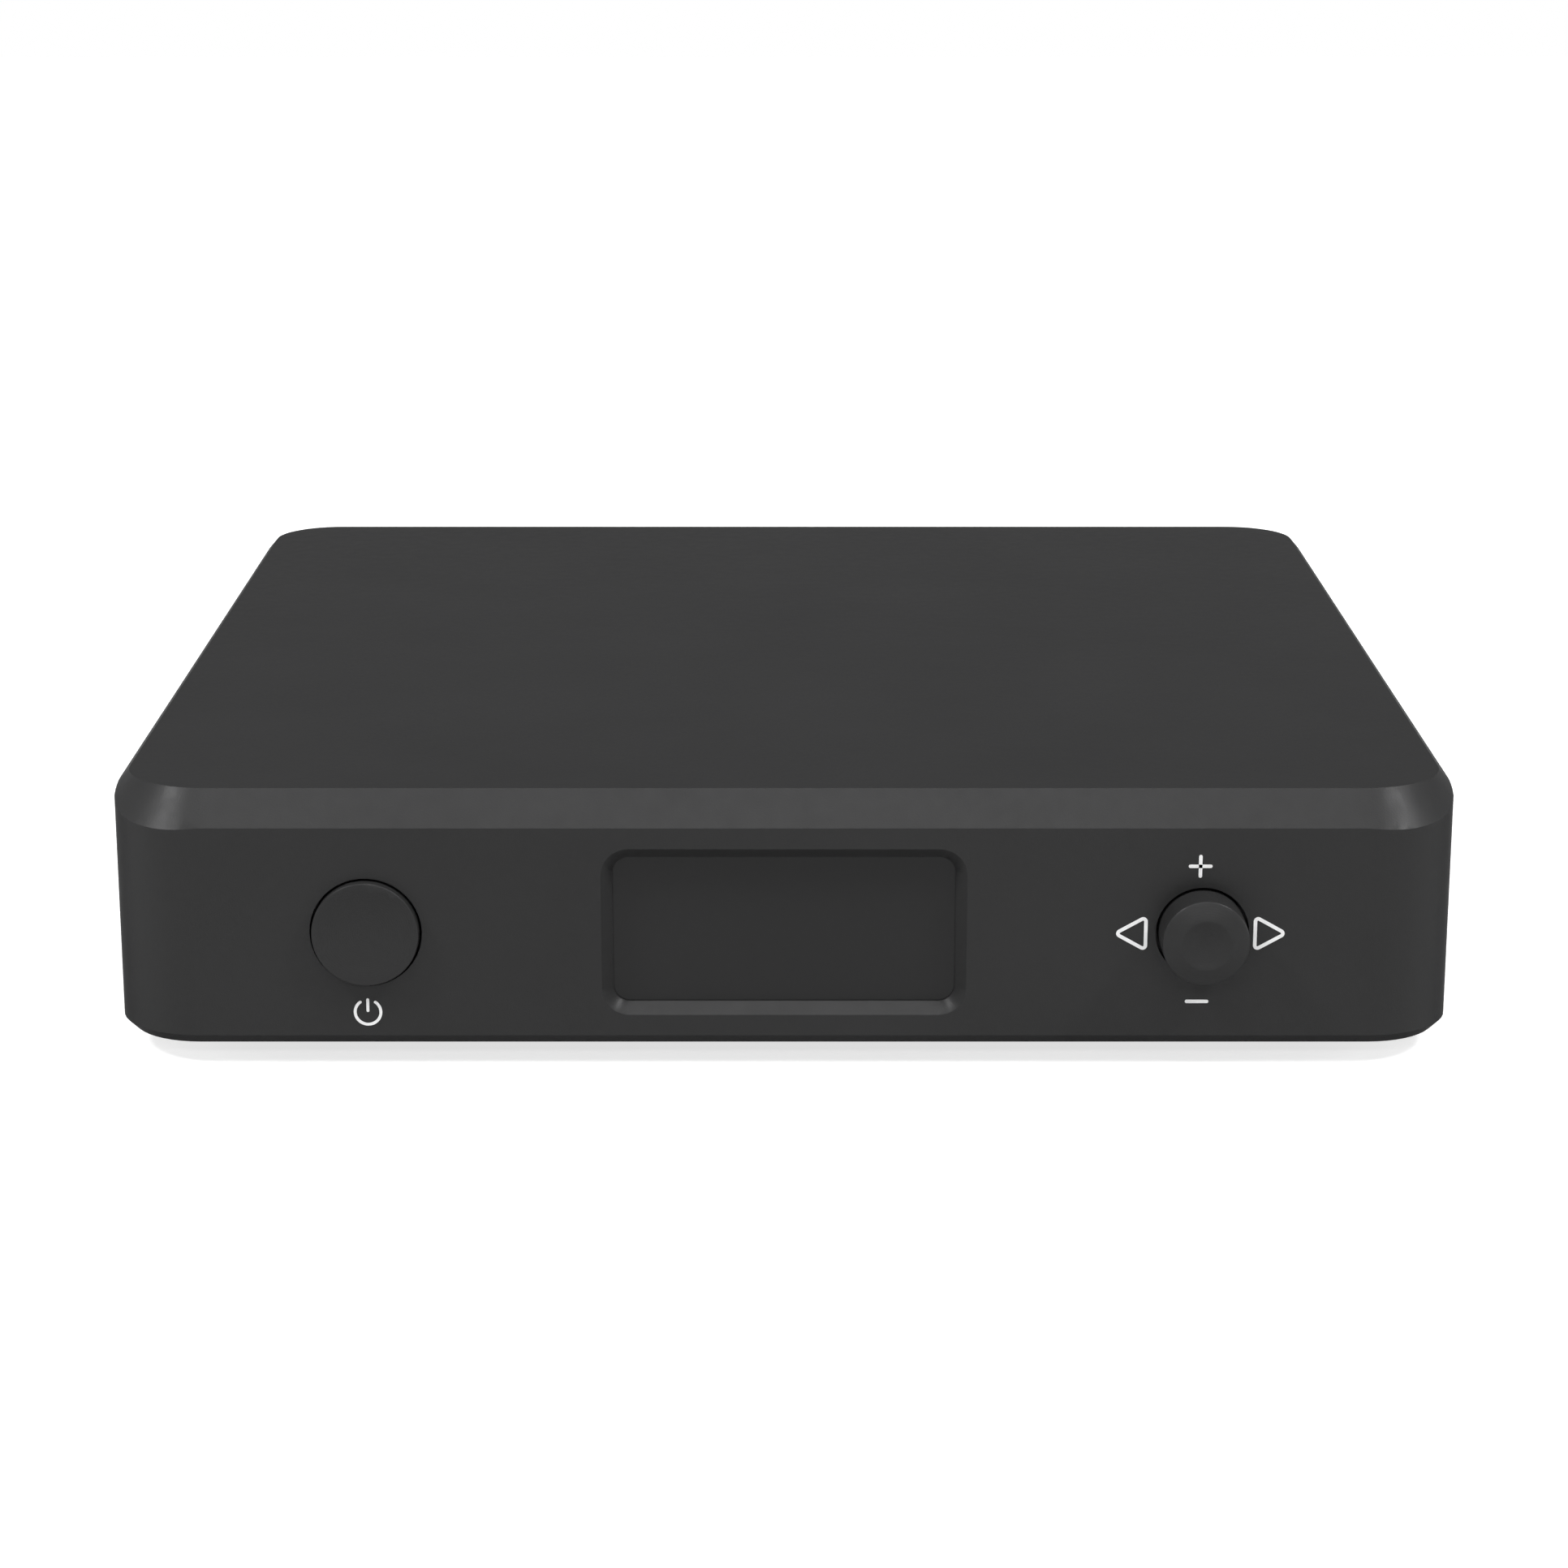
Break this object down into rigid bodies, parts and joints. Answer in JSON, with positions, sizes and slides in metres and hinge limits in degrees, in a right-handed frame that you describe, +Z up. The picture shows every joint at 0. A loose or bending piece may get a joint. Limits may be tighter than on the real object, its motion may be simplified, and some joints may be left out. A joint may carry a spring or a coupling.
{
  "type": "desktop dac",
  "caption": "Flat rounded box that turns digital audio into line level sound, with a power button, a small screen and a joystick on the front and sockets behind.",
  "frame": {"origin": "on the surface that the feet stand on, under the middle of the whole outline", "axes": "+Z up; -Y towards the front panel, which the user faces; +X to the user's right"},
  "size_m": [0.129, 0.1432, 0.0268],
  "materials": {
    "case_anodised": "fine bead-blasted dark grey anodising, nearly matt",
    "panel_anodised": "dark grey anodised sheet",
    "plate_painted": "black powder coat, fine texture",
    "screw_black": "black oxide",
    "screw_zinc": "bright zinc",
    "foot_rubber": "matt black rubber",
    "window_glass": "smoked flat glass",
    "gasket_foam": "black foam tape",
    "tray_steel": "folded steel tray",
    "screen_glass": "unlit dark screen",
    "holder_plastic": "black moulded plastic",
    "ribbon_film": "amber flexible circuit film",
    "board_laminate": "black solder mask",
    "button_anodised": "dark grey anodised, turned face",
    "stick_anodised": "dark grey anodised, turned",
    "switch_plastic": "black moulded plastic",
    "spring_steel": "bright spring steel",
    "gimbal_plastic": "black acetal",
    "standoff_brass": "turned brass",
    "connector_plastic": "ivory moulded plastic",
    "tinned_steel": "tinned sheet",
    "chip_plastic": "black moulded package",
    "oscillator_steel": "plated lid",
    "relay_plastic": "white moulded case",
    "inductor_ferrite": "dark grey ferrite",
    "capacitor_sleeve": "dark blue sleeve",
    "housing_black": "black moulded plastic",
    "housing_red": "red moulded plastic",
    "housing_white": "white moulded plastic",
    "gold_plate": "gold plate on brass",
    "nickel_plate": "nickel plate",
    "spring_bronze": "phosphor bronze strip",
    "tongue_plastic": "black moulded plastic",
    "socket_plastic": "black moulded plastic",
    "emitter_lens": "clear dark red lens"
  },
  "bodies": {
    "case": {"board_standoffs": "standoff_brass", "bottom_plate": "plate_painted", "bottom_screws": "screw_black", "clock_oscillators": "oscillator_steel", "coax_barrel": "gold_plate", "coax_contact": "gold_plate", "coax_housing": "housing_black", "dac_chip": "chip_plastic", "display_holder": "holder_plastic", "display_ribbon": "ribbon_film", "display_screen": "screen_glass", "display_tray": "tray_steel", "display_window": "window_glass", "front_board": "board_laminate", "front_board_screws": "screw_zinc", "jack_left_body": "socket_plastic", "jack_left_bush": "nickel_plate", "jack_left_nut": "nickel_plate", "jack_left_springs": "spring_bronze", "jack_right_body": "socket_plastic", "jack_right_bush": "nickel_plate", "jack_right_nut": "nickel_plate", "jack_right_springs": "spring_bronze", "link_cable": "ribbon_film", "link_socket_front": "connector_plastic", "link_socket_main": "connector_plastic", "main_board": "board_laminate", "main_board_screws": "screw_zinc", "optical_emitter": "emitter_lens", "optical_socket": "socket_plastic", "output_relays": "relay_plastic", "phono_left_barrel": "gold_plate", "phono_left_contact": "gold_plate", "phono_left_housing": "housing_white", "phono_right_barrel": "gold_plate", "phono_right_contact": "gold_plate", "phono_right_housing": "housing_red", "power_inductors": "inductor_ferrite", "power_inlet_body": "socket_plastic", "power_inlet_pin": "nickel_plate", "power_switch_body": "switch_plastic", "rear_panel": "panel_anodised", "rear_panel_screws": "screw_black", "rubber_feet": "foot_rubber", "shield_can": "tinned_steel", "stick_switch_body": "switch_plastic", "supply_capacitors": "capacitor_sleeve", "top_shell": "case_anodised", "usb_bridge_chip": "chip_plastic", "usb_shell": "nickel_plate", "usb_tongue": "tongue_plastic", "window_gasket": "gasket_foam"},
    "power_button": {"power_button_cap": "button_anodised", "power_switch_plunger": "switch_plastic", "power_button_spring": "spring_steel"},
    "stick_yaw": {"stick_ring": "gimbal_plastic"},
    "stick_pitch": {"stick_cradle": "gimbal_plastic"},
    "stick_press": {"joystick_cap": "stick_anodised", "stick_stem": "spring_steel"},
    "optical_flap": {"optical_shutter": "socket_plastic"}
  },
  "joints": [
    {"name": "power_button_press", "type": "slide", "parent": "case", "child": "power_button", "axis": [0, 1, 0], "range_m": [0, 0.0004], "stiffness_N_per_m": 3000, "deforming": ["power_button_spring"]},
    {"name": "stick_left_right", "type": "hinge", "parent": "case", "child": "stick_yaw", "pos_m": [0.0398, -0.06375, 0.0133], "axis": [0, 0, 1], "range_deg": [-3, 3], "stiffness_Nm_per_rad": 0.14},
    {"name": "stick_up_down", "type": "hinge", "parent": "stick_yaw", "child": "stick_pitch", "pos_m": [0.0398, -0.06375, 0.0133], "axis": [1, 0, 0], "range_deg": [-3, 3], "stiffness_Nm_per_rad": 0.14},
    {"name": "stick_press_in", "type": "slide", "parent": "stick_pitch", "child": "stick_press", "axis": [0, 1, 0], "range_m": [0, 0.0003], "stiffness_N_per_m": 5000},
    {"name": "optical_flap_swing", "type": "hinge", "parent": "case", "child": "optical_flap", "pos_m": [-0.02325, 0.05945, 0.01955], "axis": [-1, 0, 0], "range_deg": [0, 88], "stiffness_Nm_per_rad": 0.0004}
  ]
}
